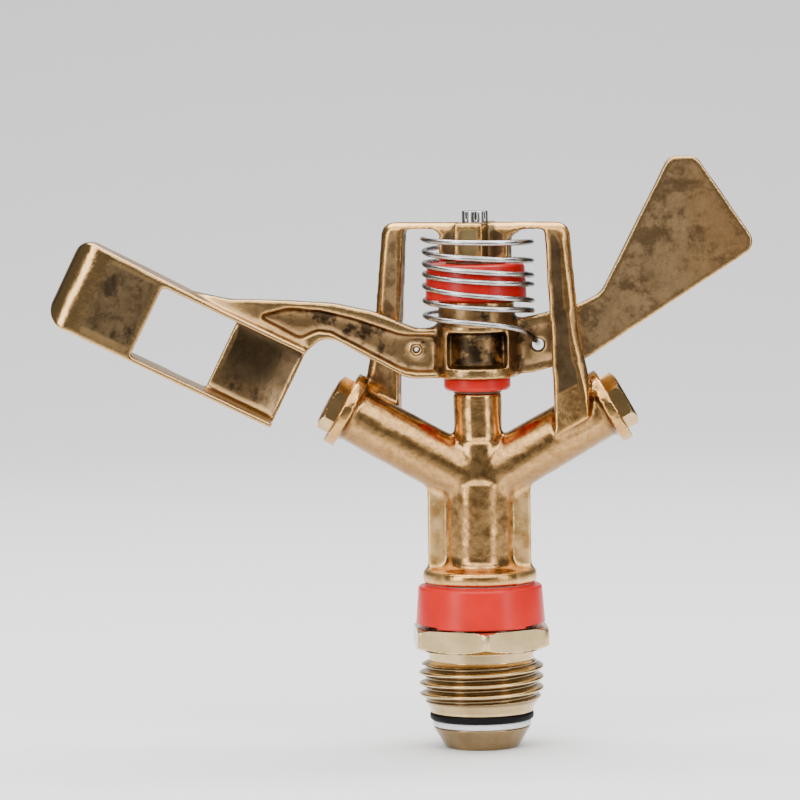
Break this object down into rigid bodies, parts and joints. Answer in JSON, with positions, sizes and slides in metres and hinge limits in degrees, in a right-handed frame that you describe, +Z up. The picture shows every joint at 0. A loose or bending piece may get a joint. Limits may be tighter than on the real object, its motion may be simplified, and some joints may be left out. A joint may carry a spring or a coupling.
{
  "type": "impact sprinkler",
  "caption": "Brass impact sprinkler with twin angled barrels, a bridge, a sprung striker arm with spoon and paddle, red plastic bushes and a threaded inlet.",
  "frame": {"origin": "on the turning axis at the lower end of the male inlet thread", "axes": "+Z up along the turning axis, -X towards the main barrel and the arm's spoon, -Y towards the spoon's front vane"},
  "size_m": [0.1175, 0.0254, 0.0989],
  "materials": {
    "cast_brass": "cast and barrel-polished golden brass",
    "aged_cast_brass": "cast brass with brown patina and worn bright edges",
    "machined_brass": "pale turned brass",
    "steel": "polished stainless steel",
    "spring_steel": "drawn stainless wire",
    "red_plastic": "moulded satin red plastic",
    "red_bush_plastic": "moulded satin red acetal",
    "white_ptfe": "waxy white PTFE",
    "black_rubber": "matt black rubber"
  },
  "bodies": {
    "nipple": {"inlet_nipple": "machined_brass", "spring_seat_washer": "steel", "bearing_spring": "spring_steel"},
    "cover": {"spring_cover": "red_plastic", "spring_top_washer": "steel", "upper_thrust_washer": "white_ptfe", "rubber_seal_washer": "black_rubber", "ptfe_thrust_washer": "white_ptfe"},
    "head": {"head_casting": "cast_brass", "bearing_tube": "machined_brass", "range_nozzle": "machined_brass", "spreader_nozzle": "machined_brass", "stream_straightener": "machined_brass", "fulcrum_pin": "steel", "stem_wear_washer": "white_ptfe", "pin_thrust_washer": "white_ptfe"},
    "arm": {"impact_arm": "aged_cast_brass", "upper_arm_bush": "red_bush_plastic", "lower_arm_bush": "red_bush_plastic", "arm_spring": "spring_steel"}
  },
  "joints": [
    {"name": "head_press", "type": "slide", "parent": "nipple", "child": "cover", "axis": [0, 0, 1], "range_m": [-0.00015, 0], "stiffness_N_per_m": 5000, "springref_m": 0.004, "deforming": ["bearing_spring"]},
    {"name": "head_spin", "type": "hinge", "parent": "cover", "child": "head", "pos_m": [0, 0, 0], "axis": [0, 0, 1], "continuous": true},
    {"name": "arm_swing", "type": "hinge", "parent": "head", "child": "arm", "pos_m": [0, 0, 0.055], "axis": [0, 0, 1], "range_deg": [0, 140], "stiffness_Nm_per_rad": 0.02, "springref_deg": -57.3, "deforming": ["arm_spring"]}
  ]
}
